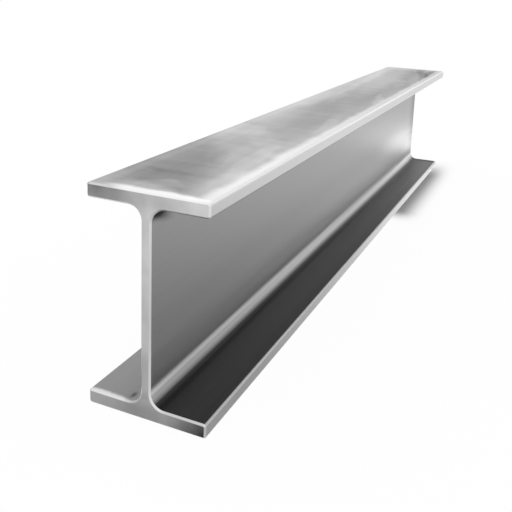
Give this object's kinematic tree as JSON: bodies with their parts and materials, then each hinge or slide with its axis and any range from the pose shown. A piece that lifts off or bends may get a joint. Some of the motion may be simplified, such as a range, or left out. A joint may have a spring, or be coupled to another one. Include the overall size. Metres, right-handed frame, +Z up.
{
  "type": "steel h-beam",
  "caption": "Short length of hot-rolled steel H-beam: parallel flanges joined by a thin web with root fillets, sawn square at the ends.",
  "frame": {"origin": "middle of the bottom flange's underside", "axes": "+X along the beam, +Y across the flanges, +Z up along the web"},
  "size_m": [0.4, 0.046, 0.08],
  "materials": {
    "h_beam": "satin"
  },
  "bodies": {
    "root": {"h_beam": "h_beam"}
  },
  "joints": []
}
